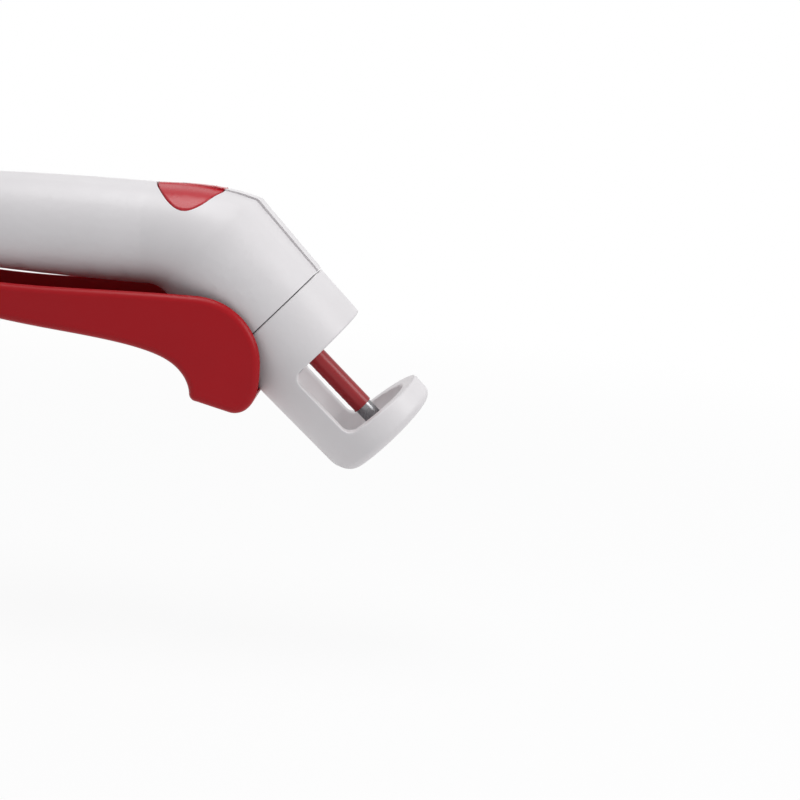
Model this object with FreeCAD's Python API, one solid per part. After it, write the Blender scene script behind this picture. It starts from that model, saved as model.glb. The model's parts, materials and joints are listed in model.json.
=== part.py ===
import FreeCAD
import Part
import math
import os

os.makedirs("parts", exist_ok=True)

# Hand-lever cherry pitter: an oval handle that bends down into a round neck, a pull-off head with
# a window and a cup, and a squeeze lever that drives a plunger down through the fruit.
# Millimetres, +Z up, +X towards the head, the mid-plane at Y = 0. The origin is on the handle's
# axis where the palm holds it. The lever is modelled squeezed, with the plunger all the way down.

# Driving dimensions: handle and neck
GRIP_TO_ELBOW = 47.0
HANDLE_BACK = 104.0
HANDLE_TOP = 14.3
HANDLE_BOTTOM = 12.3
HANDLE_HALF_WIDTH = 15.1
TAIL_TOP = 10.2
TAIL_BOTTOM = 8.6
TAIL_HALF_WIDTH = 11.0
TAIL_ROUND = 8.0
HANDLE_SQUARENESS = 2.25
BEND_ANGLE = 42.0
WALL = 2.0
BEND_ROOM = 6.0
BEND_FULLNESS = 1.7
NECK_LENGTH = 25.8
NECK_RADIUS = 17.0
NECK_ROOT_RISE = 1.3

# Driving dimensions: head
SEAM_GAP = 0.25
SEAM_BEVEL = 0.3
HEAD_WALL = 2.8
END_FACE = 41.0
END_WALL = 3.0
UNDERSIDE = 70.4
CUP_RADIUS = 16.1
CUP_SHIFT = -0.4
SPINE_EDGE = -6.0
RIM_BACK = 61.8
RIM_FRONT = 63.8
SPINE_CORNER = 8.0
CUP_CORNER = 2.6
WINDOW_CORNER = 3.0
SEAT_DEPTH = 9.4
EXIT_RADIUS = 5.2
SPIGOT_LENGTH = 7.0
SPIGOT_WALL = 1.7
SLIDE_CLEARANCE = 0.3
HOLE_CLEARANCE = 0.35

# Driving dimensions: plunger, rack and tip
ROD_RADIUS = 2.75
ROD_BEHIND_MESH = 2.2
RACK_SLOT_WIDTH = 2.5
RACK_PITCH_OFFSET = 1.9
TIP_START = 60.0
TIP_REACH = 1.1
TIP_RADIUS = 2.4
TIP_BORE = 1.5
TIP_SOCKET_DEPTH = 6.0
CROWN_SLOT = 1.0
CROWN_DEPTH = 2.2
GUIDE_THICKNESS = 3.4
RUNNING_CLEARANCE = 0.05
HELD_CLEARANCE = 0.02

# Driving dimensions: gears
MODULE = 0.8
PRESSURE_ANGLE = 25.0
ADDENDUM = 0.8 * MODULE
DEDENDUM = 1.0 * MODULE
BACKLASH = 0.2
RACK_GEAR_TEETH = 15
SIDE_GEAR_TEETH = 10
SECTOR_CIRCLE_TEETH = 256
SECTOR_SPARE_TEETH = 1.5
MESH_ALONG_NECK = 22.0
LEVER_SWING = 11.8
RACK_GEAR_HALF_WIDTH = 1.0
SIDE_GEAR_INNER = 3.4
SIDE_GEAR_OUTER = 6.8
GEAR_HUB_RADIUS = 2.9
AXLE_RADIUS = 1.5
WASHER_THICKNESS = 0.4
WASHER_RADIUS = 3.0
BOSS_RADIUS = 3.4
SIDE_PLAY = 0.1

# Driving dimensions: lever
LEVER_HALF_WIDTH = 19.15
LEVER_TAIL_HALF_WIDTH = 11.8
LEVER_WALL = 1.8
LEVER_WEB = 2.2
LEVER_EDGE = 2.0
NECK_CLEARANCE = 0.35
ARM_INNER = 3.6
ARM_OUTER = 6.6
ARM_DEPTH = 6.0
ARM_ROOM = 0.8
PIN_Z = -4.6
PIN_RADIUS = 1.5
EAR_INNER = 3.2
EAR_RADIUS = 3.6
SPRING_WIRE = 1.1

# Driving dimensions: lock button
PAD_BACK = -12.9
PAD_FRONT = 4.8
PAD_HALF_WIDTH = 13.9
PAD_LOW_EDGE = 6.3
PAD_TRAVEL_ROOM = 1.3
PAD_SQUARENESS = 2.0
PAD_END_GAP = 0.45
PAD_SIDE_GAP = 0.25
PAD_PIN_X = -10.1
PAD_PIN_Z = 9.0
PAD_PIN_RADIUS = 0.8
PAD_EAR_INNER = 2.9
PAD_EAR_OUTER = 4.9
PRONG_INNER = 7.0
PRONG_OUTER = 9.0
PEG_RADIUS = 1.0
PEG_REACH = 1.5
PEG_ANGLE = 1.0

# Driving dimensions: screws
SCREW_RADIUS = 1.1
SCREW_HEAD_RADIUS = 2.1
SCREW_HEAD_HEIGHT = 1.6
SCREW_BOSS_RADIUS = 2.9
SCREW_GRIP = 5.5

BIG = 400.0


def vector(x, y, z):
    return FreeCAD.Vector(x, y, z)


SIDEWAYS = vector(0, 1, 0)
BEND = math.radians(BEND_ANGLE)
ELBOW = vector(GRIP_TO_ELBOW, 0, 0)
BEND_BACK = (NECK_RADIUS + BEND_ROOM - math.cos(BEND) * (HANDLE_BOTTOM + BEND_ROOM)) / math.sin(BEND)
DOWN_NECK = vector(math.cos(BEND), 0, -math.sin(BEND))
OFF_NECK = vector(math.sin(BEND), 0, math.cos(BEND))


def from_elbow(x, y, z):
    return ELBOW + vector(x, y, z)


def on_neck(along, y, off):
    return ELBOW + DOWN_NECK * along + OFF_NECK * off + SIDEWAYS * y


def signed_power(value, power):
    return math.copysign(abs(value) ** power, value)


def half_oval(centre, up, half_height, half_width, squareness, past_middle):
    """The left half of an oval across the body, closed by straight edges past the mid-plane."""
    points = []
    count = 12
    for step in range(count + 1):
        turn = math.pi * (step / count - 0.5)
        out = half_width * signed_power(math.cos(turn), 2 / squareness) if 0 < step < count else 0.0
        rise = half_height * signed_power(math.sin(turn), 2 / squareness)
        points.append(centre + SIDEWAYS * out + up * rise)
    curve = Part.BSplineCurve()
    curve.interpolate(Points=points, InitialTangent=SIDEWAYS, FinalTangent=SIDEWAYS * -1)
    top_corner = points[-1] - SIDEWAYS * past_middle
    low_corner = points[0] - SIDEWAYS * past_middle
    return Part.Wire([
        curve.toShape(),
        Part.LineSegment(points[-1], top_corner).toShape(),
        Part.LineSegment(top_corner, low_corner).toShape(),
        Part.LineSegment(low_corner, points[0]).toShape(),
    ])


def oval(centre, up, half_height, half_width, squareness):
    """A closed smooth oval across the body, with its height along up and its width along Y."""
    points = []
    count = 24
    for step in range(count):
        turn = 2 * math.pi * step / count
        across = half_width * signed_power(math.cos(turn), 2 / squareness)
        rise = half_height * signed_power(math.sin(turn), 2 / squareness)
        points.append(centre + SIDEWAYS * across + up * rise)
    curve = Part.BSplineCurve()
    curve.interpolate(points, True)
    return Part.Wire([curve.toShape()])


def side_face(points):
    """A flat face in the mid-plane from points given as x and z from the elbow."""
    corners = [from_elbow(x, 0, z) for x, z in points]
    return Part.Face(Part.makePolygon(corners + corners[:1]))


def across(face, low, high):
    """A face of the mid-plane drawn out sideways from Y = low to Y = high."""
    moved = face.translated(SIDEWAYS * low)
    return moved.extrude(SIDEWAYS * (high - low))


def both_sides(face, inner, outer):
    return across(face, inner, outer).fuse(across(face, -outer, -inner))


def cross_rod(centre, radius, low, high):
    """A round rod along Y about a point of the mid-plane."""
    return Part.makeCylinder(radius, high - low, centre + SIDEWAYS * low, SIDEWAYS)


def cross_tube(centre, radius, bore, low, high):
    return cross_rod(centre, radius, low, high).cut(cross_rod(centre, bore, low, high))


def neck_rod(radius, start, end, off=0.0):
    return Part.makeCylinder(radius, end - start, on_neck(start, 0, off), DOWN_NECK)


def spline(points):
    curve = Part.BSplineCurve()
    curve.interpolate([from_elbow(x, 0, z) for x, z in points])
    return curve.toShape()


def arc(first, middle, last):
    places = [from_elbow(x, 0, z) for x, z in (first, middle, last)]
    return Part.Arc(*places).toShape()


def line(first, last):
    return Part.LineSegment(from_elbow(first[0], 0, first[1]), from_elbow(last[0], 0, last[1])).toShape()


def save(name, shape, join_faces=True):
    """Writes one piece. Flush faces are joined, except where two mirrored skins meet in a curve."""
    solids = shape.removeSplitter().Solids if join_faces else shape.Solids
    result = solids[0] if len(solids) == 1 else Part.makeCompound(solids)
    volume = sum(solid.Volume for solid in solids)
    print(name, len(solids), "solid(s)", round(volume, 1), "mm3", "valid" if result.isValid() else "BROKEN")
    result.exportStep("parts/" + name + ".step")


# Toothed parts: a tooth's flank is an involute, drawn through a few of its points
def involute(angle):
    return math.tan(angle) - angle


def tooth_half_angle(radius, teeth):
    """Half the angle that a tooth takes up at a radius, seen from the gear's centre."""
    pitch_radius = MODULE * teeth / 2
    pressure = math.radians(PRESSURE_ANGLE)
    base_radius = pitch_radius * math.cos(pressure)
    at_pitch = (math.pi * MODULE / 2 - BACKLASH / 2) / (2 * pitch_radius)
    here = math.acos(min(1.0, base_radius / max(radius, base_radius)))
    return at_pitch + involute(pressure) - involute(here)


def tooth_outline(teeth, middle):
    """Points of one tooth from root to tip and back, as radius and angle about the gear's centre."""
    pitch_radius = MODULE * teeth / 2
    root = pitch_radius - DEDENDUM
    tip = pitch_radius + ADDENDUM
    base_radius = pitch_radius * math.cos(math.radians(PRESSURE_ANGLE))
    flank_start = max(root, base_radius)
    steps = 6
    radii = [flank_start + (tip - flank_start) * step / steps for step in range(steps + 1)]
    if root < flank_start:
        radii = [root] + radii
    rising = [(radius, middle - tooth_half_angle(radius, teeth)) for radius in radii]
    falling = [(radius, middle + tooth_half_angle(radius, teeth)) for radius in reversed(radii)]
    return rising + falling


def polar(centre, radius, angle):
    return centre + vector(radius * math.cos(angle), 0, radius * math.sin(angle))


def gear_face(centre, teeth, gap_angle):
    """A whole gear's face, with a gap between two teeth at gap_angle."""
    pitch_step = 2 * math.pi / teeth
    points = []
    for tooth in range(teeth):
        middle = gap_angle + pitch_step * (tooth + 0.5)
        points += [polar(centre, radius, angle) for radius, angle in tooth_outline(teeth, middle)]
    return Part.Face(Part.makePolygon(points + points[:1]))


# Places that the drive settles: the gear beside the rod, and the lever's pin behind it
RACK_GEAR_RADIUS = MODULE * RACK_GEAR_TEETH / 2
SIDE_GEAR_RADIUS = MODULE * SIDE_GEAR_TEETH / 2
SECTOR_RADIUS = MODULE * SECTOR_CIRCLE_TEETH / 2
GEAR_CENTRE = on_neck(MESH_ALONG_NECK, 0, -(RACK_PITCH_OFFSET + RACK_GEAR_RADIUS))
PIN_TO_GEAR = SECTOR_RADIUS + SIDE_GEAR_RADIUS
PIN_DROP = PIN_Z - GEAR_CENTRE.z
PIN = vector(GEAR_CENTRE.x - math.sqrt(PIN_TO_GEAR ** 2 - PIN_DROP ** 2), 0, PIN_Z)
MESH_ANGLE = math.atan2(GEAR_CENTRE.z - PIN.z, GEAR_CENTRE.x - PIN.x)
SWING = math.radians(LEVER_SWING)
GEAR_PER_LEVER = SECTOR_RADIUS / SIDE_GEAR_RADIUS
STROKE = RACK_GEAR_RADIUS * GEAR_PER_LEVER * SWING
TIP_END = UNDERSIDE + TIP_REACH
ROD_START = MESH_ALONG_NECK - ROD_BEHIND_MESH
PEG = polar(PIN, SECTOR_RADIUS - ARM_DEPTH + 1.6, math.radians(PEG_ANGLE))
print("pin", PIN, "gear", GEAR_CENTRE, "stroke", round(STROKE, 3), "gear turns per lever turn", GEAR_PER_LEVER)


# Housing: the outer skin and the hollow are lofted through matching ovals
def handle_station(x, inset, scale=1.0):
    """The oval across the handle at x from the elbow, which swells from the tail to the bend."""
    share = (x + HANDLE_BACK) / (HANDLE_BACK - BEND_BACK)
    swell = math.sin(share * math.pi / 2) ** 0.8 if share > 0 else 0.0
    top = (TAIL_TOP + (HANDLE_TOP - TAIL_TOP) * swell) * scale - inset
    bottom = (TAIL_BOTTOM + (HANDLE_BOTTOM - TAIL_BOTTOM) * swell) * scale - inset
    half_width = (TAIL_HALF_WIDTH + (HANDLE_HALF_WIDTH - TAIL_HALF_WIDTH) * swell) * scale - inset
    centre = from_elbow(x, 0, (top - bottom) / 2)
    return half_oval(centre, vector(0, 0, 1), (top + bottom) / 2, half_width, HANDLE_SQUARENESS, 3.0 + inset)


def bend_station(share, inset):
    """The oval across the bend, in a plane that swings about the inner corner."""
    turn = BEND * share
    pivot = from_elbow(-BEND_BACK, 0, -HANDLE_BOTTOM - BEND_ROOM)
    radial = vector(math.sin(turn), 0, math.cos(turn))
    handle_reach = HANDLE_TOP + HANDLE_BOTTOM + BEND_ROOM
    neck_reach = (ELBOW - pivot).dot(OFF_NECK) + NECK_RADIUS + NECK_ROOT_RISE
    reach = handle_reach + (neck_reach - handle_reach) * share ** BEND_FULLNESS
    half_width = HANDLE_HALF_WIDTH + (NECK_RADIUS - HANDLE_HALF_WIDTH) * share - inset
    squareness = HANDLE_SQUARENESS + (2.0 - HANDLE_SQUARENESS) * share
    middle = pivot + radial * ((BEND_ROOM + reach) / 2)
    return half_oval(middle, radial, (reach - BEND_ROOM) / 2 - inset, half_width, squareness, 3.0 + inset)


def body_loft(inset, back, neck_end):
    """The handle, bend and neck as one form, drawn in by inset on every side."""
    wires = []
    tail_steps = 6
    for step in range(tail_steps):
        turn = math.radians(20 + 70 * step / tail_steps)
        x = -HANDLE_BACK + back + TAIL_ROUND * (1 - math.cos(turn))
        wires.append(handle_station(x, inset, math.sin(turn)))
    count = 9
    first = -HANDLE_BACK + back + TAIL_ROUND
    for step in range(count):
        wires.append(handle_station(first + (-BEND_BACK - first) * step / count, inset))
    bend_steps = 10
    for step in range(bend_steps + 1):
        wires.append(bend_station(step / bend_steps, inset))
    radius = NECK_RADIUS - inset
    wires.append(half_oval(on_neck(neck_end, 0, 0), OFF_NECK, radius, radius, 2.0, 3.0 + inset))
    return Part.makeLoft(wires, True, True)


NECK_END = NECK_LENGTH - SEAM_GAP / 2
outer = body_loft(0.0, 0.0, NECK_END)
hollow = body_loft(WALL, WALL, NECK_END + 2.0)
left_room = Part.makeBox(BIG, BIG / 2, BIG, vector(-BIG / 2, 0, -BIG / 2))
shell = outer.cut(hollow).common(left_room)
outer = outer.common(left_room)
hollow = hollow.common(left_room)

# Neck spigot inside the head's collar, thickened where it joins the neck wall
COLLAR_BORE = NECK_RADIUS - WALL
SPIGOT_RADIUS = COLLAR_BORE - SLIDE_CLEARANCE
SPIGOT_BORE = SPIGOT_RADIUS - SPIGOT_WALL
SPIGOT_END = NECK_LENGTH + SPIGOT_LENGTH
SPIGOT_ROOT = NECK_LENGTH - 5.0
spigot = neck_rod(SPIGOT_RADIUS, SPIGOT_ROOT, SPIGOT_END)
spigot = spigot.fuse(neck_rod(COLLAR_BORE + WALL / 2, SPIGOT_ROOT, NECK_END - SEAM_BEVEL))
spigot = spigot.cut(neck_rod(SPIGOT_BORE, SPIGOT_ROOT - 1, SPIGOT_END + 1))
shell = shell.fuse(spigot.common(left_room))

# Bosses of the gear axle and the lever's pin, and three screw posts across the mid-plane
GEAR_SIDE = SIDE_GEAR_OUTER
AXLE_BOSS_FACE = GEAR_SIDE + SIDE_PLAY + WASHER_THICKNESS + SIDE_PLAY
AXLE_HALF_LENGTH = AXLE_BOSS_FACE + 3.6
EAR_OUTER = ARM_OUTER
PIN_BOSS_FACE = EAR_OUTER + 2 * SIDE_PLAY
PIN_HALF_LENGTH = TAIL_HALF_WIDTH - WALL
SCREW_PLACES = [
    from_elbow(-HANDLE_BACK * 0.74, 0, 1.5),
    from_elbow(-HANDLE_BACK * 0.32, 0, 1.5),
    on_neck(MESH_ALONG_NECK - 3.5, 0, 9.6),
]
for face, centre, radius in (
    (AXLE_BOSS_FACE, GEAR_CENTRE, BOSS_RADIUS),
    (PIN_BOSS_FACE, PIN, BOSS_RADIUS),
    (0.0, SCREW_PLACES[0], SCREW_BOSS_RADIUS),
    (0.0, SCREW_PLACES[1], SCREW_BOSS_RADIUS),
    (0.0, SCREW_PLACES[2], SCREW_BOSS_RADIUS),
):
    post = cross_rod(centre, radius, face, NECK_RADIUS)
    shell = shell.fuse(post.common(outer))
shell = shell.cut(cross_rod(GEAR_CENTRE, AXLE_RADIUS + HELD_CLEARANCE, -AXLE_HALF_LENGTH, AXLE_HALF_LENGTH))
shell = shell.cut(cross_rod(PIN, PIN_RADIUS + HELD_CLEARANCE, -PIN_HALF_LENGTH, PIN_HALF_LENGTH))


# The button's opening on top, and brackets behind it that reach under the pad and carry its pin
def pad_prism(end_gap, side_gap, floor):
    """The lens-shaped outline seen from above, grown by its gaps and drawn up through the skin."""
    middle = (PAD_BACK + PAD_FRONT) / 2
    half_length = (PAD_FRONT - PAD_BACK) / 2 + end_gap
    half_width = PAD_HALF_WIDTH + side_gap
    outline = oval(from_elbow(middle, 0, floor), vector(1, 0, 0), half_length, half_width, PAD_SQUARENESS)
    return Part.Face(outline).extrude(vector(0, 0, NECK_RADIUS * 1.5))


shell = shell.cut(pad_prism(PAD_END_GAP, PAD_SIDE_GAP, PAD_LOW_EDGE - PAD_TRAVEL_ROOM))
BRACKET_INNER = PAD_EAR_OUTER + 2 * SIDE_PLAY
BRACKET_OUTER = BRACKET_INNER + 2.0
BRACKET_TOP = PAD_PIN_Z + 1.3
BRACKET_FRONT = PAD_PIN_X + 2.0
bracket_face = side_face([
    (BRACKET_FRONT, PAD_PIN_Z - 2.0),
    (BRACKET_FRONT, BRACKET_TOP),
    (PAD_BACK - 1.2, BRACKET_TOP),
    (PAD_BACK - 1.2, HANDLE_TOP),
    (PAD_BACK - 8.0, HANDLE_TOP),
    (PAD_BACK - 8.0, PAD_PIN_Z + 0.5),
    (PAD_PIN_X - 1.0, PAD_PIN_Z - 2.0),
])
PAD_PIN = from_elbow(PAD_PIN_X, 0, PAD_PIN_Z)
bracket = across(bracket_face, BRACKET_INNER, BRACKET_OUTER).common(outer)
shell = shell.fuse(bracket)
shell = shell.cut(cross_rod(PAD_PIN, PAD_PIN_RADIUS + HELD_CLEARANCE, -BRACKET_OUTER, BRACKET_OUTER))


# Openings below: the arms' and pegs' slots, and the ears' slot at the tail
def ring_sector(inner, outside, low_angle, high_angle):
    """A flat sector of a ring about the lever's pin, in the mid-plane, angles in radians."""
    steps = max(4, int((high_angle - low_angle) / 0.04))
    turns = [low_angle + (high_angle - low_angle) * step / steps for step in range(steps + 1)]
    points = [polar(PIN, outside, turn) for turn in turns]
    points += [polar(PIN, inner, turn) for turn in reversed(turns)]
    return Part.Face(Part.makePolygon(points + points[:1]))


ARM_ROOT = SECTOR_RADIUS - DEDENDUM
ARM_BACK = ARM_ROOT - ARM_DEPTH
ARM_TIP = SECTOR_RADIUS + ADDENDUM
PEG_OUTER = ARM_OUTER + PEG_REACH
SLOT_LOW = MESH_ANGLE - math.radians(22.0)
arm_slot = ring_sector(ARM_BACK - ARM_ROOM * 2, ARM_TIP + ARM_ROOM, SLOT_LOW, 0.0)
peg_slot = ring_sector(ARM_BACK, ARM_ROOT, SLOT_LOW, 0.0)
shell = shell.cut(across(arm_slot, -ARM_OUTER - ARM_ROOM, ARM_OUTER + ARM_ROOM))
shell = shell.cut(across(peg_slot, -PEG_OUTER - ARM_ROOM / 2, PEG_OUTER + ARM_ROOM / 2))
EAR_SLOT = EAR_RADIUS + 1.2
ear_slot = Part.makeBox(
    2 * EAR_SLOT,
    2 * (EAR_OUTER + SIDE_PLAY),
    HANDLE_BOTTOM * 2,
    PIN + vector(-EAR_SLOT, -EAR_OUTER - SIDE_PLAY, -HANDLE_BOTTOM * 2),
)
shell = shell.cut(ear_slot)
shell = shell.cut(cross_rod(PIN, EAR_RADIUS + 0.6, -EAR_OUTER - SIDE_PLAY, EAR_OUTER + SIDE_PLAY))
GEAR_POCKET = RACK_GEAR_RADIUS + ADDENDUM + 0.6
shell = shell.cut(cross_rod(GEAR_CENTRE, GEAR_POCKET, -AXLE_BOSS_FACE, AXLE_BOSS_FACE))
shell = shell.cut(neck_rod(ROD_RADIUS + HOLE_CLEARANCE, -NECK_RADIUS, NECK_END))

# Screw heads sit below the skin, at a depth that follows the body's width there
SCREW_HEAD_SEATS = []
for place in SCREW_PLACES:
    off_axis = max(abs(place.z), 0.0) if place.x < ELBOW.x - BEND_BACK else (place - ELBOW).dot(OFF_NECK)
    reach = NECK_RADIUS if place.x >= ELBOW.x - BEND_BACK else HANDLE_HALF_WIDTH
    side = math.sqrt(max(reach ** 2 - off_axis ** 2, 0.0))
    seat = side - SCREW_HEAD_HEIGHT - 1.6
    SCREW_HEAD_SEATS.append(seat)

# The right half is the left one mirrored; screws go in from the left and bite in the right
left = shell
right = shell.mirror(ELBOW, SIDEWAYS)
for place, seat in zip(SCREW_PLACES, SCREW_HEAD_SEATS):
    left = left.cut(cross_rod(place, SCREW_HEAD_RADIUS + 0.15, seat, NECK_RADIUS * 1.5))
    left = left.cut(cross_rod(place, SCREW_RADIUS + HELD_CLEARANCE, -1.0, NECK_RADIUS))
    right = right.cut(cross_rod(place, SCREW_RADIUS + HELD_CLEARANCE, -SCREW_GRIP - 1.0, 1.0))
save("housing_left", left)
save("housing_right", right)

screws = []
for place, seat in zip(SCREW_PLACES, SCREW_HEAD_SEATS):
    head = cross_rod(place, SCREW_HEAD_RADIUS, seat, seat + SCREW_HEAD_HEIGHT)
    edge = [e for e in head.Edges if abs(e.BoundBox.YMax - seat - SCREW_HEAD_HEIGHT) < 0.01 and e.Closed]
    head = head.makeFillet(0.5, edge)
    socket_face = Part.makeBox(2.6, 1.0, 0.55, place + vector(-1.3, seat + SCREW_HEAD_HEIGHT - 0.9, -0.275))
    cross_face = Part.makeBox(0.55, 1.0, 2.6, place + vector(-0.275, seat + SCREW_HEAD_HEIGHT - 0.9, -1.3))
    shank = cross_rod(place, SCREW_RADIUS, -SCREW_GRIP, seat)
    screws.append(head.cut(socket_face).cut(cross_face).fuse(shank))
save("housing_screws", Part.makeCompound(screws))

# Gear, its axle and two washers
rack_gear = across(gear_face(GEAR_CENTRE, RACK_GEAR_TEETH, math.atan2(OFF_NECK.z, OFF_NECK.x)),
                   -RACK_GEAR_HALF_WIDTH, RACK_GEAR_HALF_WIDTH)
side_face_gear = gear_face(GEAR_CENTRE, SIDE_GEAR_TEETH, MESH_ANGLE + math.pi)
drive_gear = rack_gear.fuse(both_sides(side_face_gear, SIDE_GEAR_INNER, SIDE_GEAR_OUTER))
drive_gear = drive_gear.fuse(cross_rod(GEAR_CENTRE, GEAR_HUB_RADIUS, -SIDE_GEAR_OUTER, SIDE_GEAR_OUTER))
drive_gear = drive_gear.cut(cross_rod(GEAR_CENTRE, AXLE_RADIUS + RUNNING_CLEARANCE, -NECK_RADIUS, NECK_RADIUS))
save("drive_gear", drive_gear)
save("gear_axle", cross_rod(GEAR_CENTRE, AXLE_RADIUS, -AXLE_HALF_LENGTH, AXLE_HALF_LENGTH))
washer_low = GEAR_SIDE + SIDE_PLAY
washer = Part.Face(Part.Wire(Part.makeCircle(WASHER_RADIUS, GEAR_CENTRE, SIDEWAYS)))
washers = both_sides(washer, washer_low, washer_low + WASHER_THICKNESS)
washers = washers.cut(cross_rod(GEAR_CENTRE, AXLE_RADIUS + HELD_CLEARANCE, -NECK_RADIUS, NECK_RADIUS))
save("axle_washers", washers)

# Plunger: a round rod with a narrow rack sunk in its lower side, and a steel crown at the end
rod_round = neck_rod(ROD_RADIUS, ROD_START, TIP_START)
rod = rod_round.fuse(neck_rod(TIP_BORE - HELD_CLEARANCE, TIP_START, TIP_START + TIP_SOCKET_DEPTH))
rod_top_bevel = 0.8
rod = rod.cut(neck_rod(ROD_RADIUS + 1, ROD_START - 1, ROD_START + rod_top_bevel).cut(
    Part.makeCone(ROD_RADIUS - rod_top_bevel, ROD_RADIUS, rod_top_bevel, on_neck(ROD_START, 0, 0), DOWN_NECK)))
pitch = math.pi * MODULE
rack_teeth = int(math.ceil(STROKE / pitch)) + 2
rack_first = MESH_ALONG_NECK - pitch / 2
rack_last = rack_first + pitch * (rack_teeth - 0.5)
rack_floor = -RACK_PITCH_OFFSET + DEDENDUM
slot_points = [
    on_neck(ROD_START - 1, 0, rack_floor),
    on_neck(rack_last + pitch, 0, rack_floor),
    on_neck(rack_last + pitch, 0, -ROD_RADIUS - 1),
    on_neck(ROD_START - 1, 0, -ROD_RADIUS - 1),
]
slot = Part.Face(Part.makePolygon(slot_points + slot_points[:1]))
half_slot = RACK_SLOT_WIDTH / 2
rod = rod.cut(across(slot, -half_slot, half_slot))
slope = math.tan(math.radians(PRESSURE_ANGLE))
half_tooth = pitch / 4 - BACKLASH / 4
for tooth in range(rack_teeth):
    middle = MESH_ALONG_NECK + pitch * tooth
    tip_off = -RACK_PITCH_OFFSET - ADDENDUM
    root_off = rack_floor + 0.2
    corners = [
        on_neck(middle - half_tooth + slope * ADDENDUM, 0, tip_off),
        on_neck(middle + half_tooth - slope * ADDENDUM, 0, tip_off),
        on_neck(middle + half_tooth + slope * (DEDENDUM + 0.2), 0, root_off),
        on_neck(middle - half_tooth - slope * (DEDENDUM + 0.2), 0, root_off),
    ]
    tooth_face = Part.Face(Part.makePolygon(corners + corners[:1]))
    rod = rod.fuse(across(tooth_face, -half_slot, half_slot).common(rod_round))
save("plunger", rod)

tip = neck_rod(TIP_RADIUS, TIP_START, TIP_END)
tip = tip.cut(neck_rod(TIP_BORE, TIP_START - 1, TIP_START + TIP_SOCKET_DEPTH + 0.5))
tip = tip.cut(neck_rod(TIP_BORE, TIP_END - CROWN_DEPTH - 0.6, TIP_END + 1))
for direction in (SIDEWAYS, OFF_NECK):
    other = DOWN_NECK.cross(direction)
    start = on_neck(TIP_END - CROWN_DEPTH, 0, 0)
    corners = [
        start - direction * 5 - other * (CROWN_SLOT / 2),
        start + direction * 5 - other * (CROWN_SLOT / 2),
        start + direction * 5 + other * (CROWN_SLOT / 2),
        start - direction * 5 + other * (CROWN_SLOT / 2),
    ]
    tip = tip.cut(Part.Face(Part.makePolygon(corners + corners[:1])).extrude(DOWN_NECK * (CROWN_DEPTH + 1)))
save("plunger_tip", tip)

guide_start = SPIGOT_END - GUIDE_THICKNESS
guide = neck_rod(SPIGOT_BORE - HELD_CLEARANCE, guide_start, SPIGOT_END)
guide = guide.cut(neck_rod(ROD_RADIUS + RUNNING_CLEARANCE, guide_start - 1, SPIGOT_END + 1))
save("plunger_guide", guide)

# Head: collar, end face, spine and cup are one moulding
HEAD_START = NECK_LENGTH + SEAM_GAP / 2
head_wires = [
    Part.Wire(Part.makeCircle(NECK_RADIUS, on_neck(HEAD_START, 0, 0), DOWN_NECK)),
    Part.Wire(Part.makeCircle(CUP_RADIUS, on_neck(UNDERSIDE, 0, CUP_SHIFT), DOWN_NECK)),
]
head = Part.makeLoft(head_wires, True, True)
under_edge = [e for e in head.Edges if e.Closed and (e.CenterOfMass - on_neck(UNDERSIDE, 0, CUP_SHIFT)).Length < 0.5]
head = head.makeFillet(CUP_CORNER, under_edge)
top_edge = [e for e in head.Edges if e.Closed and (e.CenterOfMass - on_neck(HEAD_START, 0, 0)).Length < 0.5]
head = head.makeChamfer(SEAM_BEVEL, top_edge)


def head_face(points):
    corners = [on_neck(along, 0, off) for along, off in points]
    return Part.Face(Part.makePolygon(corners + corners[:1]))


# The spine turns under the cup in a large round corner
corner_centre = on_neck(UNDERSIDE - SPINE_CORNER, 0, CUP_SHIFT - CUP_RADIUS + SPINE_CORNER)
corner_block = head_face([
    (UNDERSIDE - SPINE_CORNER, -NECK_RADIUS * 1.5),
    (UNDERSIDE + 5, -NECK_RADIUS * 1.5),
    (UNDERSIDE + 5, CUP_SHIFT - CUP_RADIUS + SPINE_CORNER),
    (UNDERSIDE - SPINE_CORNER, CUP_SHIFT - CUP_RADIUS + SPINE_CORNER),
])
corner_cut = across(corner_block, -BIG / 4, BIG / 4)
corner_cut = corner_cut.cut(cross_rod(corner_centre, SPINE_CORNER, -BIG / 4, BIG / 4))
head = head.cut(corner_cut)
cavity_radius = CUP_RADIUS - HEAD_WALL
seat_start = UNDERSIDE - HEAD_WALL - SEAT_DEPTH
seat_bottom = UNDERSIDE - HEAD_WALL
seat_profile = Part.Wire([
    Part.LineSegment(on_neck(END_FACE, 0, 0), on_neck(END_FACE, 0, cavity_radius)).toShape(),
    Part.LineSegment(on_neck(END_FACE, 0, cavity_radius), on_neck(seat_start, 0, cavity_radius)).toShape(),
    Part.Arc(
        on_neck(seat_start, 0, cavity_radius),
        on_neck(seat_start + SEAT_DEPTH * 0.66, 0, cavity_radius * 0.8),
        on_neck(seat_bottom, 0, EXIT_RADIUS),
    ).toShape(),
    Part.LineSegment(on_neck(seat_bottom, 0, EXIT_RADIUS), on_neck(UNDERSIDE + 2, 0, EXIT_RADIUS)).toShape(),
    Part.LineSegment(on_neck(UNDERSIDE + 2, 0, EXIT_RADIUS), on_neck(UNDERSIDE + 2, 0, 0)).toShape(),
    Part.LineSegment(on_neck(UNDERSIDE + 2, 0, 0), on_neck(END_FACE, 0, 0)).toShape(),
])
cavity = Part.Face(seat_profile).revolve(on_neck(0, 0, 0), DOWN_NECK, 360)
head = head.cut(cavity)
head = head.cut(neck_rod(COLLAR_BORE, HEAD_START - 1, END_FACE - END_WALL))
head = head.cut(neck_rod(ROD_RADIUS + HOLE_CLEARANCE, END_FACE - END_WALL - 1, END_FACE + 1))

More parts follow.
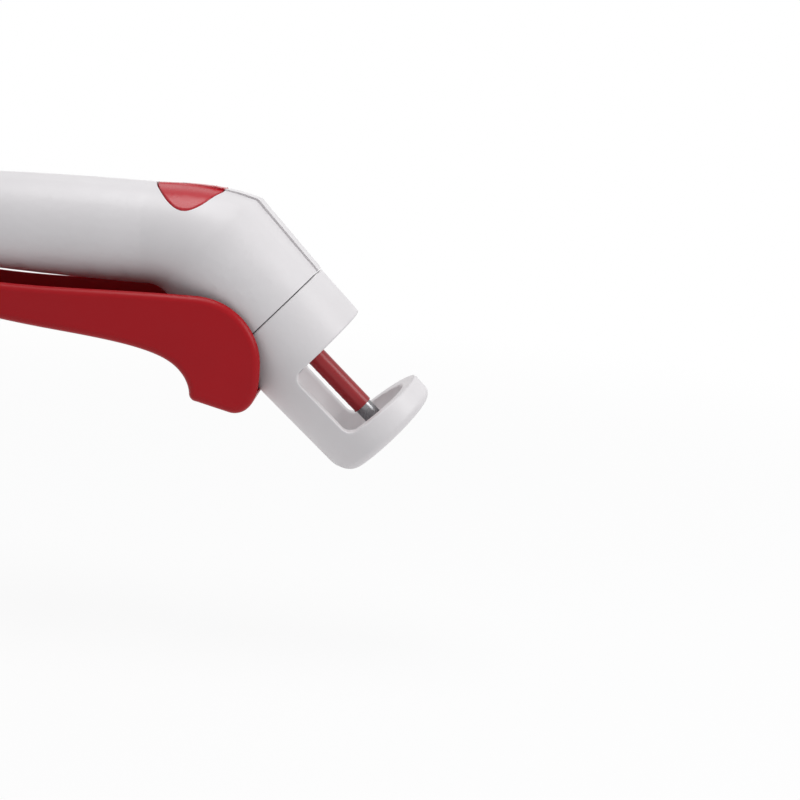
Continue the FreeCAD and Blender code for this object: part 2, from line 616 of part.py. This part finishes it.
# The window is open from the end face to the rim, in front of the spine
rim_slope = (RIM_FRONT - RIM_BACK) / (CUP_RADIUS - SPINE_EDGE)
rim_far = RIM_BACK + rim_slope * (NECK_RADIUS * 2 - SPINE_EDGE)
window = across(head_face([
    (END_FACE, SPINE_EDGE),
    (END_FACE, NECK_RADIUS * 2),
    (rim_far, NECK_RADIUS * 2),
    (RIM_BACK, SPINE_EDGE),
]), -BIG / 4, BIG / 4)
inner_corners = []
for edge in window.Edges:
    if edge.BoundBox.YLength > BIG / 4:
        off = (edge.CenterOfMass - ELBOW).dot(OFF_NECK)
        if off < 0:
            inner_corners.append(edge)
window = window.makeFillet(WINDOW_CORNER, inner_corners)
head = head.cut(window)
save("pitting_head", head)

# Lever: a moulded channel, narrow at the tail and straddling the neck in front
FRONT_ARC_X = 1.2
FRONT_ARC_RADIUS = 17.0
LEVER_TOP = -12.7
FRONT_ARC_Z = LEVER_TOP - FRONT_ARC_RADIUS
LEVER_BACK = -HANDLE_BACK + 6.0
TOE = (11.0, -41.75)
TOE_ROUND = [(18.0, -35.0), (16.9, -38.6), (14.9, -41.0), (13.0, -41.8)]
HEEL = (2.6, -39.7)
FINGER_SIDE = [
    (0.5, -37.5),
    (-0.4, -34.7),
    (-3.4, -31.1),
    (-10.1, -28.0),
    (-18.0, -26.4),
    (-40.0, -24.2),
    (-66.0, -21.2),
    (-86.0, -18.4),
    (LEVER_BACK + 3.5, -16.0),
]
TOP_EDGE = [
    (LEVER_BACK, LEVER_TOP + 2.3),
    (-76.0, LEVER_TOP + 0.5),
    (-48.0, LEVER_TOP - 1.1),
    (-22.0, LEVER_TOP - 0.5),
    (FRONT_ARC_X, LEVER_TOP),
]


def on_front_arc(turn):
    x = FRONT_ARC_X + FRONT_ARC_RADIUS * math.cos(turn)
    z = FRONT_ARC_Z + FRONT_ARC_RADIUS * math.sin(turn)
    return (x, z)


front_low = on_front_arc(-0.05)
outline = Part.Wire([
    spline(TOP_EDGE),
    arc(TOP_EDGE[-1], on_front_arc(0.8), front_low),
    spline([front_low] + TOE_ROUND + [TOE]),
    line(TOE, HEEL),
    arc(HEEL, (HEEL[0] - 1.55, HEEL[1] + 0.7), FINGER_SIDE[0]),
    spline(FINGER_SIDE),
    arc(FINGER_SIDE[-1], (LEVER_BACK + 0.7, -13.8), TOP_EDGE[0]),
])
side = across(Part.Face(outline), -LEVER_HALF_WIDTH * 1.2, LEVER_HALF_WIDTH * 1.2)


def plan_form(inset, low, high):
    """The lever's outline from below, drawn up from z = low to z = high."""
    back = LEVER_BACK - 1.0
    widths = [
        (back, LEVER_TAIL_HALF_WIDTH * 0.86 - inset),
        (-80.0, LEVER_TAIL_HALF_WIDTH + 1.5 - inset),
        (-50.0, LEVER_HALF_WIDTH - 2.9 - inset),
        (-20.0, LEVER_HALF_WIDTH - 0.7 - inset),
        (-2.0, LEVER_HALF_WIDTH - inset),
        (24.0, LEVER_HALF_WIDTH - inset),
    ]
    curve = Part.BSplineCurve()
    curve.interpolate([from_elbow(x, y, low) for x, y in widths])
    other = Part.BSplineCurve()
    other.interpolate([from_elbow(x, -y, low) for x, y in reversed(widths)])
    front_x, front_y = widths[-1]
    back_x, back_y = widths[0]
    wire = Part.Wire([
        curve.toShape(),
        Part.LineSegment(from_elbow(front_x, front_y, low), from_elbow(front_x, -front_y, low)).toShape(),
        other.toShape(),
        Part.LineSegment(from_elbow(back_x, -back_y, low), from_elbow(back_x, back_y, low)).toShape(),
    ])
    return Part.Face(wire).extrude(vector(0, 0, high - low))


channel = side.common(plan_form(0.0, -60.0, 0.0))
lower_edges = []
for edge in channel.Edges:
    middle = edge.CenterOfMass - ELBOW
    runs_along = edge.BoundBox.YLength < edge.BoundBox.XLength + edge.BoundBox.ZLength
    below = middle.z < LEVER_TOP - 2.0 and abs(middle.y) > 5
    if runs_along and below:
        lower_edges.append(edge)
skin = channel.makeFillet(LEVER_EDGE, lower_edges)


# The channel's inside follows the finger side at the web's thickness and is open above
inside_points = [(x, z + LEVER_WEB) for x, z in FINGER_SIDE[2:-1]]
inside_back = LEVER_BACK + LEVER_WALL * 1.6
inside_floor = [
    (TOE[0] + LEVER_WEB * 0.9, TOE[1] + LEVER_WEB * 1.35),
    (HEEL[0] + LEVER_WEB * 0.6, HEEL[1] + LEVER_WEB * 1.2),
    (FINGER_SIDE[1][0] + LEVER_WEB, FINGER_SIDE[1][1] + LEVER_WEB * 0.5),
    (FINGER_SIDE[2][0] + LEVER_WEB * 0.7, FINGER_SIDE[2][1] + LEVER_WEB),
]
inside_roof = [
    (inside_back, 0.0),
    (FRONT_ARC_X + FRONT_ARC_RADIUS * 2, 0.0),
    (FRONT_ARC_X + FRONT_ARC_RADIUS * 2, FRONT_ARC_Z),
    (FRONT_ARC_X + FRONT_ARC_RADIUS - LEVER_WEB * 0.8, FRONT_ARC_Z - 7.0),
]
floor_curve = spline(inside_points)
first = inside_floor + inside_points[:1]
edges = [line(first[k], first[k + 1]) for k in range(len(first) - 1)]
edges.append(floor_curve)
last = [inside_points[-1], (inside_back, inside_points[-1][1] + 1.0)] + inside_roof + inside_floor[:1]
edges += [line(last[k], last[k + 1]) for k in range(len(last) - 1)]
inside = across(Part.Face(Part.Wire(edges)), -LEVER_HALF_WIDTH, LEVER_HALF_WIDTH)
inside = inside.common(plan_form(LEVER_WALL, -60.0, 10.0))
lever = skin.cut(inside)
neck_room = neck_rod(NECK_RADIUS + NECK_CLEARANCE, -10.0, UNDERSIDE)
lever = lever.cut(neck_room)

# Two toothed arms stand on the web and reach up into the neck
arm_low = MESH_ANGLE - math.radians(12.0)
arm_high = MESH_ANGLE + SWING + SECTOR_SPARE_TEETH * 2 * math.pi / SECTOR_CIRCLE_TEETH
arm_face = ring_sector(ARM_BACK, ARM_ROOT, arm_low, arm_high)
tooth_step = 2 * math.pi / SECTOR_CIRCLE_TEETH
sector_teeth = int(math.floor((arm_high - MESH_ANGLE) / tooth_step + 0.5))
for tooth in range(-1, sector_teeth):
    middle = MESH_ANGLE + tooth_step * tooth
    rim = tooth_outline(SECTOR_CIRCLE_TEETH, middle)
    low_side = (ARM_ROOT - 0.4, rim[0][1])
    high_side = (ARM_ROOT - 0.4, rim[-1][1])
    corners = [polar(PIN, radius, angle) for radius, angle in [low_side] + rim + [high_side]]
    arm_face = arm_face.fuse(Part.Face(Part.makePolygon(corners + corners[:1])))
arm_face = arm_face.removeSplitter()
arms = both_sides(arm_face, ARM_INNER, ARM_OUTER)
below = Part.makeBox(BIG, BIG, BIG, vector(-BIG / 2, -BIG / 2, FINGER_SIDE[3][1] - BIG))
arms = arms.cut(below).fuse(arms.common(below).common(skin))
peg = both_sides(Part.Face(Part.Wire(Part.makeCircle(PEG_RADIUS, PEG, SIDEWAYS))), ARM_OUTER - 0.2, PEG_OUTER)
lever = lever.fuse(arms).fuse(peg)

# Two ears at the tail turn on the pin
ear_foot = side_face([
    (PIN.x - ELBOW.x - EAR_RADIUS, PIN.z),
    (PIN.x - ELBOW.x + EAR_RADIUS, PIN.z),
    (PIN.x - ELBOW.x + EAR_RADIUS + 2.0, -24.0),
    (PIN.x - ELBOW.x - EAR_RADIUS, -24.0),
])
ears = both_sides(ear_foot, EAR_INNER, ARM_OUTER)
shelf = Part.makeBox(BIG, BIG, BIG, vector(-BIG / 2, -BIG / 2, LEVER_TOP - 0.2 - BIG))
ears = ears.cut(shelf).fuse(ears.common(shelf).common(skin))
ears = ears.fuse(both_sides(Part.Face(Part.Wire(Part.makeCircle(EAR_RADIUS, PIN, SIDEWAYS))), EAR_INNER, ARM_OUTER))
lever = lever.fuse(ears)
lever = lever.cut(cross_rod(PIN, PIN_RADIUS + RUNNING_CLEARANCE, -LEVER_HALF_WIDTH, LEVER_HALF_WIDTH))
save("lever", lever)
save("lever_pin", cross_rod(PIN, PIN_RADIUS, -PIN_HALF_LENGTH, PIN_HALF_LENGTH))

# The lever's torsion spring: coils about the pin, one leg up to the handle's roof, and one down
# through the ears' slot to the web
coil_radius = PIN_RADIUS + 0.3
coil = cross_tube(PIN, coil_radius + SPRING_WIRE, coil_radius, -EAR_INNER + 0.3, EAR_INNER - 0.3)
leg_start = coil_radius + SPRING_WIRE / 2
upper_leg = Part.makeCylinder(
    SPRING_WIRE / 2, 16.4, PIN + vector(0, EAR_INNER - 1.0, leg_start), vector(1, 0, 0.95))
lower_leg = Part.makeCylinder(
    SPRING_WIRE / 2, 8.9, PIN + vector(0, 1.0 - EAR_INNER, -leg_start), vector(0.45, 0, -1))
save("lever_spring", coil.fuse(upper_leg).fuse(lower_leg))

# Lock button: the lens-shaped pad cut from the skin, with ears behind and two hooked prongs below,
# made as its left half and mirrored
pad_half = outer.common(pad_prism(0.0, 0.0, PAD_LOW_EDGE)).cut(hollow)
ear_face = side_face([
    (PAD_PIN_X - 1.7, HANDLE_TOP - WALL / 2),
    (PAD_PIN_X + 1.9, HANDLE_TOP - WALL / 2),
    (PAD_PIN_X + 1.9, PAD_PIN_Z - 0.8),
    (PAD_PIN_X + 0.9, PAD_PIN_Z - 1.8),
    (PAD_PIN_X - 0.9, PAD_PIN_Z - 1.8),
    (PAD_PIN_X - 1.7, PAD_PIN_Z - 0.8),
])
pad_half = pad_half.fuse(across(ear_face, PAD_EAR_INNER, PAD_EAR_OUTER).common(outer))
peg_x = PEG.x - ELBOW.x
hook_tip = peg_x + PEG_RADIUS + 0.3
hook_top = PEG.z - PEG_RADIUS + 1.0
stem_back = hook_tip + 1.2
stem_front = stem_back + 1.4
prong_face = side_face([
    (-3.0, HANDLE_TOP),
    (1.2, HANDLE_TOP),
    (1.2, PAD_PIN_Z - 0.9),
    (2.6, PAD_PIN_Z - 1.2),
    (stem_front, 5.6),
    (stem_front, hook_top - 3.0),
    (hook_tip + 1.0, hook_top - 3.0),
    (hook_tip, hook_top - 1.4),
    (hook_tip, hook_top),
    (stem_back, hook_top),
    (stem_back, 5.0),
    (1.4, 7.2),
    (-3.0, 7.8),
])
pad_half = pad_half.fuse(across(prong_face, PRONG_INNER, PRONG_OUTER).common(outer))
lock_button = pad_half.fuse(pad_half.mirror(ELBOW, SIDEWAYS))
lock_button = lock_button.cut(cross_rod(PAD_PIN, PAD_PIN_RADIUS + RUNNING_CLEARANCE, -BRACKET_OUTER, BRACKET_OUTER))
save("lock_button", lock_button, join_faces=False)
save("lock_button_pin", cross_rod(PAD_PIN, PAD_PIN_RADIUS, -BRACKET_OUTER, BRACKET_OUTER))
pad_coil = cross_tube(PAD_PIN, PAD_PIN_RADIUS + 0.8, PAD_PIN_RADIUS + 0.2, -PAD_EAR_INNER + 0.3, PAD_EAR_INNER - 0.3)
pad_leg = Part.makeCylinder(0.3, 6.0, PAD_PIN + vector(0, 0, PAD_PIN_RADIUS + 0.5), vector(1, 0, 0.26))
back_leg = Part.makeCylinder(0.3, 5.0, PAD_PIN + vector(0, 0, PAD_PIN_RADIUS + 0.5), vector(-1, 0, 0.26))
save("lock_button_spring", pad_coil.fuse(pad_leg).fuse(back_leg))
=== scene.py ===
import json
import math

import bmesh
import bpy
from mathutils import Matrix, Vector
from mathutils.bvhtree import BVHTree


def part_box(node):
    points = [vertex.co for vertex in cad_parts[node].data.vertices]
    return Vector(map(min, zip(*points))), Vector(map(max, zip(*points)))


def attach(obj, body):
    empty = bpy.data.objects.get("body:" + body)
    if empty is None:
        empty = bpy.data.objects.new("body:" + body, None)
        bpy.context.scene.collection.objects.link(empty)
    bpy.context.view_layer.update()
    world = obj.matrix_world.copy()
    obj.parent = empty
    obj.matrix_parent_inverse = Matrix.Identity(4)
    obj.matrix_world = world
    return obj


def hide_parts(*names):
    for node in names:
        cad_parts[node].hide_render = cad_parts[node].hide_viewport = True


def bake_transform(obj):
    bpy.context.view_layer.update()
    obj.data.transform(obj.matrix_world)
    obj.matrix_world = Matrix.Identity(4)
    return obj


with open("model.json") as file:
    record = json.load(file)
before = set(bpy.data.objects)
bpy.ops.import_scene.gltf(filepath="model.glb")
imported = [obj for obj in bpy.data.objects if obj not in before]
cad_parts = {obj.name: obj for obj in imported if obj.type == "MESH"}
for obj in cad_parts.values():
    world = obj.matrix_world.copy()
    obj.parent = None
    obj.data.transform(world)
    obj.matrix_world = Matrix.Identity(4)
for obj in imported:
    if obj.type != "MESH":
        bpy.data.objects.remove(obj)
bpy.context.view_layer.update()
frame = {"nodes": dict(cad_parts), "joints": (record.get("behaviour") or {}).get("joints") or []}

# Body: two satin white mouldings that meet on the middle plane and make the handle, bend and neck.
# They are moulded as thin shells, and the two halves close to a line that barely shows.


def softened(node, name, body, edge, segments=2, chosen=None):
    """A merged copy of a solid with its corners rounded by edge, which stands in the solid's place."""
    same_place = 1e-6
    corner = math.radians(38)
    form = bmesh.new()
    form.from_mesh(frame["nodes"][node].data)
    bmesh.ops.remove_doubles(form, verts=form.verts, dist=same_place)
    if edge > 0:
        sliver = 3e-5
        flat_enough = math.radians(0.02)
        solid_skin = BVHTree.FromBMesh(form)
        bmesh.ops.remove_doubles(form, verts=form.verts, dist=sliver)
        bmesh.ops.dissolve_degenerate(form, dist=same_place, edges=form.edges)
        bmesh.ops.dissolve_limit(form, angle_limit=flat_enough, verts=form.verts, edges=form.edges)
        corners = [
            e for e in form.edges
            if len(e.link_faces) == 2 and e.calc_face_angle(0) > corner
            and (chosen is None or chosen((e.verts[0].co + e.verts[1].co) / 2))
        ]
        bmesh.ops.bevel(
            form, geom=corners, offset=edge, offset_type="OFFSET", segments=segments,
            profile=0.5, affect="EDGES", clamp_overlap=False, material=-1,
        )
        stray = edge * 0.7
        for corner_point in form.verts:
            nearest, _, _, distance = solid_skin.find_nearest(corner_point.co)
            if distance > stray:
                corner_point.co = nearest
        low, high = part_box(node)
        for corner_point in form.verts:
            corner_point.co = [min(max(c, a), b) for c, a, b in zip(corner_point.co, low, high)]
    for face in form.faces:
        face.smooth = True
    for e in form.edges:
        e.smooth = e.calc_face_angle(0) < corner
    mesh = bpy.data.meshes.new(name)
    form.to_mesh(mesh)
    form.free()
    piece = bpy.data.objects.new(name, mesh)
    bpy.context.scene.collection.objects.link(piece)
    even = piece.modifiers.new("even_normals", "WEIGHTED_NORMAL")
    even.keep_sharp = True
    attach(piece, body)
    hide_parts(node)
    return piece


def moulded_plastic(name, colour, roughness, grain_per_metre, grain_depth, gloss_level=0.5):
    """Plastic with a faint cloud in its colour, uneven gloss and the fine grain of the mould."""
    material = bpy.data.materials.new(name)
    material.use_nodes = True
    nodes, links = material.node_tree.nodes, material.node_tree.links
    shader = nodes["Principled BSDF"]
    place = nodes.new("ShaderNodeTexCoord")

    cloud = nodes.new("ShaderNodeTexNoise")
    cloud.inputs["Scale"].default_value = 48
    cloud.inputs["Detail"].default_value = 3
    tint = nodes.new("ShaderNodeValToRGB")
    tint.color_ramp.elements[0].position = 0.35
    tint.color_ramp.elements[0].color = [c * 0.955 for c in colour] + [1]
    tint.color_ramp.elements[1].position = 0.65
    tint.color_ramp.elements[1].color = list(colour) + [1]
    links.new(place.outputs["Object"], cloud.inputs["Vector"])
    links.new(cloud.outputs["Fac"], tint.inputs["Fac"])
    links.new(tint.outputs["Color"], shader.inputs["Base Color"])

    gloss = nodes.new("ShaderNodeTexNoise")
    gloss.inputs["Scale"].default_value = 260
    gloss.inputs["Detail"].default_value = 5
    spread = nodes.new("ShaderNodeMapRange")
    spread.inputs["From Min"].default_value = 0.3
    spread.inputs["From Max"].default_value = 0.7
    spread.inputs["To Min"].default_value = roughness * 0.88
    spread.inputs["To Max"].default_value = roughness * 1.12
    links.new(place.outputs["Object"], gloss.inputs["Vector"])
    links.new(gloss.outputs["Fac"], spread.inputs["Value"])
    links.new(spread.outputs["Result"], shader.inputs["Roughness"])

    grain = nodes.new("ShaderNodeTexNoise")
    grain.inputs["Scale"].default_value = grain_per_metre
    grain.inputs["Detail"].default_value = 2
    relief = nodes.new("ShaderNodeBump")
    relief.inputs["Strength"].default_value = 0.5
    relief.inputs["Distance"].default_value = grain_depth
    links.new(place.outputs["Object"], grain.inputs["Vector"])
    links.new(grain.outputs["Fac"], relief.inputs["Height"])
    links.new(relief.outputs["Normal"], shader.inputs["Normal"])

    shader.inputs["IOR"].default_value = 1.49
    shader.inputs["Specular IOR Level"].default_value = gloss_level
    return material


satin_white = moulded_plastic("satin_white_plastic", (0.745, 0.722, 0.730), 0.44, 2600, 9e-6)
for side in ("left", "right"):
    half = softened("housing_" + side, side + "_body_half", "housing", 0.0)
    half.data.materials.append(satin_white)

# Body screws: three zinc-plated cross-head screws, sunk in the left half and biting in the right.
# The plating is pale and slightly uneven in its gloss.


def worked_steel(name, colour, roughness, lines_across, tilt=0.0):
    """Steel with fine tool marks round its axis. The axis is Y, or lies in the side plane if tilted."""
    material = bpy.data.materials.new(name)
    material.use_nodes = True
    nodes, links = material.node_tree.nodes, material.node_tree.links
    shader = nodes["Principled BSDF"]
    shader.inputs["Metallic"].default_value = 1.0
    place = nodes.new("ShaderNodeTexCoord")
    turn = nodes.new("ShaderNodeMapping")
    turn.inputs["Rotation"].default_value = (0, tilt, 0)
    turn.inputs["Scale"].default_value = lines_across
    marks = nodes.new("ShaderNodeTexNoise")
    marks.inputs["Scale"].default_value = 1.0
    marks.inputs["Detail"].default_value = 4
    shade = nodes.new("ShaderNodeValToRGB")
    shade.color_ramp.elements[0].position = 0.3
    shade.color_ramp.elements[0].color = [c * 0.78 for c in colour] + [1]
    shade.color_ramp.elements[1].position = 0.7
    shade.color_ramp.elements[1].color = list(colour) + [1]
    spread = nodes.new("ShaderNodeMapRange")
    spread.inputs["To Min"].default_value = roughness * 0.75
    spread.inputs["To Max"].default_value = roughness * 1.25
    relief = nodes.new("ShaderNodeBump")
    relief.inputs["Strength"].default_value = 0.4
    relief.inputs["Distance"].default_value = 6e-6
    links.new(place.outputs["Object"], turn.inputs["Vector"])
    links.new(turn.outputs["Vector"], marks.inputs["Vector"])
    links.new(marks.outputs["Fac"], shade.inputs["Fac"])
    links.new(shade.outputs["Color"], shader.inputs["Base Color"])
    links.new(marks.outputs["Fac"], spread.inputs["Value"])
    links.new(spread.outputs["Result"], shader.inputs["Roughness"])
    links.new(marks.outputs["Fac"], relief.inputs["Height"])
    links.new(relief.outputs["Normal"], shader.inputs["Normal"])
    return material


screws = softened("housing_screws", "body_screws", "housing", 0.00005, 1)
screws.data.materials.append(worked_steel("zinc_plate", (0.56, 0.57, 0.60), 0.34, (900, 900, 900)))

# Head: one white moulding with a collar that slips over the neck, an end face, a spine down one
# side and the cup for the fruit. The mould leaves its rims and window edges well rounded.
bend = math.radians(42)
grip_to_bend = 0.047
head_edge = 0.0005
collar_end = 0.0295


def along_neck(point):
    """How far a point lies down the neck from the bend, in metres."""
    return (point.x - grip_to_bend) * math.cos(bend) - point.z * math.sin(bend)


head = softened(
    "pitting_head", "pull_off_head", "head", head_edge, 3,
    chosen=lambda p: along_neck(p) > collar_end,
)
head.data.materials.append(moulded_plastic("satin_white_head", (0.752, 0.728, 0.736), 0.42, 2600, 8e-6))

# Rod guide: a plain white moulded ring that keeps the plunger straight.
# It is pressed in the end of the neck, inside the head's collar.
guide = softened("plunger_guide", "rod_guide_ring", "housing", 0.0002)
guide.data.materials.append(moulded_plastic("white_guide_plastic", (0.70, 0.69, 0.67), 0.38, 1800, 6e-6))

# Plunger: a red moulded rod with a rack along its lower side, tipped with a turned steel crown
# whose four teeth cut round the stone.
deep_red = (0.34, 0.0030, 0.0085)
rod = softened("plunger", "plunger_rod", "plunger", 0.0)
rod.data.materials.append(moulded_plastic("red_rod_plastic", deep_red, 0.30, 1500, 5e-6))
crown = softened("plunger_tip", "steel_crown", "plunger", 0.00008, 1)
crown.data.materials.append(
    worked_steel("turned_steel", (0.30, 0.30, 0.31), 0.26, (6000, 300, 300), tilt=-bend)
)

# Gear: natural nylon, moulded in one, with a wide toothed middle for the rod and a side gear on
# each flank for the lever's arms. It turns on a ground axle between two thin washers.
nylon = moulded_plastic("natural_nylon", (0.64, 0.61, 0.55), 0.36, 1200, 6e-6)
gear = softened("drive_gear", "drive_gear_wheel", "gear", 0.0)
gear.data.materials.append(nylon)
washers = softened("axle_washers", "axle_spacer_washers", "housing", 0.00006, 1)
washers.data.materials.append(nylon)
ground_steel = worked_steel("ground_steel", (0.58, 0.58, 0.60), 0.20, (700, 9000, 700))
axle = softened("gear_axle", "gear_axle_rod", "housing", 0.0002)
axle.data.materials.append(ground_steel)

# Lever: a deep red moulded channel, open towards the handle, that ends in a hook for the finger.
# Its walls are polished, and the thin upper rim is rounded and catches the light.
lever_rim = 0.0004
arm_reach = 0.0086
finger_line = -0.0242


def lever_skin(point):
    """True on the walls and hook, and false on the toothed arms, the ears and the pegs."""
    return abs(point.y) > arm_reach or point.z < finger_line


lever = softened("lever", "squeeze_lever", "lever", lever_rim, 3, chosen=lever_skin)
lever.data.materials.append(
    moulded_plastic("polished_red_plastic", (0.38, 0.0022, 0.0075), 0.34, 520, 5e-6, gloss_level=0.22)
)
hinge_pin = softened("lever_pin", "lever_hinge_pin", "housing", 0.0002)
hinge_pin.data.materials.append(ground_steel)

# Lever spring: drawn wire wound round the hinge pin between the lever's ears. One leg bears up
# in the handle and the other down on the lever, so its turns wind as the lever is squeezed.


def wound_spring(name, centre, coil, wire, turns, half_width, first_leg, last_leg):
    """Round wire in a helix about a pin along Y, from a first leg over the pin to a last leg."""
    per_turn = 28
    count = int(turns * per_turn)
    path = [Vector(centre) + Vector((0, half_width, coil)) + Vector(first_leg)]
    for step in range(count + 1):
        turn = math.pi / 2 + 2 * math.pi * step / per_turn
        y = half_width * (1 - 2 * step / count)
        path.append(Vector(centre) + Vector((coil * math.cos(turn), y, coil * math.sin(turn))))
    path.append(path[-1] + Vector(last_leg))
    curve = bpy.data.curves.new(name, "CURVE")
    curve.dimensions = "3D"
    curve.bevel_depth = wire / 2
    curve.bevel_resolution = 4
    curve.use_fill_caps = True
    line = curve.splines.new("POLY")
    line.points.add(len(path) - 1)
    for point, place in zip(line.points, path):
        point.co = (*place, 1)
    drawn = bpy.data.objects.new(name + "_line", curve)
    bpy.context.scene.collection.objects.link(drawn)
    bpy.context.view_layer.update()
    mesh = bpy.data.meshes.new_from_object(drawn.evaluated_get(bpy.context.evaluated_depsgraph_get()))
    bpy.data.objects.remove(drawn)
    for face in mesh.polygons:
        face.use_smooth = True
    mesh.name = name
    piece = bpy.data.objects.new(name, mesh)
    bpy.context.scene.collection.objects.link(piece)
    return piece


joints = {joint["name"]: joint for joint in frame["joints"]}
drawn_wire = worked_steel("drawn_spring_wire", (0.46, 0.46, 0.48), 0.28, (2500, 2500, 2500))


def between(piece, node):
    """Bakes the coil's place into its mesh, hides the spring part it stands in for, and gives it drawn
    wire.
    """
    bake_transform(piece)
    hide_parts(node)
    piece.data.materials.append(drawn_wire)


hinge = joints["lever_squeeze"]["pos_m"]
lever_coil_side = 0.0022
lever_coil = wound_spring(
    "lever_coil_spring", hinge, coil=0.00235, wire=0.0011, turns=3.5, half_width=lever_coil_side,
    first_leg=(0.0117, 0, 0.0111), last_leg=(0.0036, 0, -0.0080),
)
between(lever_coil, "lever_spring")

# Thumb button: a glossy red lens let into the top of the handle. Its rim is rounded, and a tight
# dark gap runs round it. It rocks on a thin pin and is lifted by a small wound spring.
pad_rim_height = 0.0060
button = softened(
    "lock_button", "thumb_button", "button", 0.00035, 3,
    chosen=lambda p: p.z > pad_rim_height,
)
button.data.materials.append(
    moulded_plastic("glossy_red_plastic", (0.47, 0.0040, 0.0150), 0.28, 620, 5e-6, gloss_level=0.45)
)
button_pin = softened("lock_button_pin", "button_hinge_pin", "housing", 0.0001)
button_pin.data.materials.append(ground_steel)
rocker = joints["lock_press"]["pos_m"]
button_coil_side = 0.0020
button_coil = wound_spring(
    "button_coil_spring", rocker, coil=0.0013, wire=0.0006, turns=5, half_width=button_coil_side,
    first_leg=(0.0057, 0, 0.0014), last_leg=(-0.0047, 0, 0.0012),
)
between(button_coil, "lock_button_spring")

# Floor: a plain pale sheet well below the tool, which shows as white and keeps a soft shadow.
floor_height = -0.112
floor_reach = 6
floor_form = bmesh.new()
bmesh.ops.create_grid(floor_form, x_segments=1, y_segments=1, size=floor_reach)
bmesh.ops.translate(floor_form, verts=floor_form.verts, vec=(0, 0, floor_height))
floor_mesh = bpy.data.meshes.new("floor")
floor_form.to_mesh(floor_mesh)
floor_form.free()
floor = bpy.data.objects.new("floor", floor_mesh)
bpy.context.scene.collection.objects.link(floor)


def seen_rays(tree):
    """One where a ray comes from the camera, a reflection or through glass, and zero elsewhere."""
    path = tree.nodes.new("ShaderNodeLightPath")
    first = tree.nodes.new("ShaderNodeMath")
    second = tree.nodes.new("ShaderNodeMath")
    for adder in (first, second):
        adder.operation = "ADD"
        adder.use_clamp = True
    tree.links.new(path.outputs["Is Camera Ray"], first.inputs[0])
    tree.links.new(path.outputs["Is Glossy Ray"], first.inputs[1])
    tree.links.new(first.outputs[0], second.inputs[0])
    tree.links.new(path.outputs["Is Transmission Ray"], second.inputs[1])
    return second.outputs[0]


paper = bpy.data.materials.new("white_paper")
paper.use_nodes = True
tree = paper.node_tree
tree.nodes.clear()
lit = tree.nodes.new("ShaderNodeBsdfDiffuse")
lit.inputs["Color"].default_value = (0.86, 0.86, 0.86, 1)
glow = tree.nodes.new("ShaderNodeEmission")
glow.inputs["Color"].default_value = (1, 1, 1, 1)
place = tree.nodes.new("ShaderNodeTexCoord")
away = tree.nodes.new("ShaderNodeVectorMath")
away.operation = "LENGTH"
fade = tree.nodes.new("ShaderNodeMapRange")
fade.interpolation_type = "SMOOTHSTEP"
fade.inputs["From Min"].default_value = 0.10
fade.inputs["From Max"].default_value = 0.85
fade.inputs["To Min"].default_value = 0.90
fade.inputs["To Max"].default_value = 1.0
tree.links.new(place.outputs["Object"], away.inputs[0])
tree.links.new(away.outputs["Value"], fade.inputs["Value"])
share = tree.nodes.new("ShaderNodeMath")
share.operation = "MULTIPLY"
tree.links.new(fade.outputs["Result"], share.inputs[1])
both = tree.nodes.new("ShaderNodeMixShader")
result = tree.nodes.new("ShaderNodeOutputMaterial")
tree.links.new(seen_rays(tree), share.inputs[0])
tree.links.new(share.outputs[0], both.inputs["Fac"])
tree.links.new(lit.outputs[0], both.inputs[1])
tree.links.new(glow.outputs[0], both.inputs[2])
tree.links.new(both.outputs[0], result.inputs["Surface"])
floor_mesh.materials.append(paper)

# Room: an even pale light from all round, seen as white behind the tool.
room = bpy.data.worlds.new("white_room")
bpy.context.scene.world = room
room.use_nodes = True
tree = room.node_tree
tree.nodes.clear()
around = tree.nodes.new("ShaderNodeBackground")
around.inputs["Color"].default_value = (0.96, 0.97, 1.0, 1)
around.inputs["Strength"].default_value = 0.46
behind = tree.nodes.new("ShaderNodeBackground")
behind.inputs["Color"].default_value = (1, 1, 1, 1)
behind.inputs["Strength"].default_value = 1.0
both = tree.nodes.new("ShaderNodeMixShader")
result = tree.nodes.new("ShaderNodeOutputWorld")
tree.links.new(seen_rays(tree), both.inputs["Fac"])
tree.links.new(around.outputs[0], both.inputs[1])
tree.links.new(behind.outputs[0], both.inputs[2])
tree.links.new(both.outputs[0], result.inputs["Surface"])

# Lamps: one large soft lamp above, and a smaller one at the upper right that lights the neck.
middle = Vector((0.060, 0, -0.012))


def soft_lamp(name, place, size, power):
    lamp = bpy.data.lights.new(name, "AREA")
    lamp.shape = "DISK"
    lamp.size = size
    lamp.energy = power
    holder = bpy.data.objects.new(name, lamp)
    bpy.context.scene.collection.objects.link(holder)
    holder.location = place
    holder.rotation_euler = (middle - Vector(place)).to_track_quat("-Z", "Y").to_euler()


soft_lamp("lamp_above", (-0.02, -0.12, 0.62), 0.42, 1.9)
soft_lamp("lamp_right", (0.52, -0.16, 0.26), 0.30, 1.0)

# Camera: on the tool's right side and a little above it, turned by the tilt at which it is held.
eye = Vector((0.0963, -0.330, 0.0214))
aim = Vector((0.1015, 0, -0.0379))
upright = Vector((-0.0872, 0, 0.9962))
lens = bpy.data.cameras.new("camera")
lens.angle = math.radians(35.6)
camera = bpy.data.objects.new("camera", lens)
bpy.context.scene.collection.objects.link(camera)
forward = (aim - eye).normalized()
rightward = forward.cross(upright).normalized()
stance = Matrix((rightward, rightward.cross(forward), -forward)).transposed().to_4x4()
camera.matrix_world = Matrix.Translation(eye) @ stance
bpy.context.scene.camera = camera
bpy.context.scene.view_settings.view_transform = "Standard"
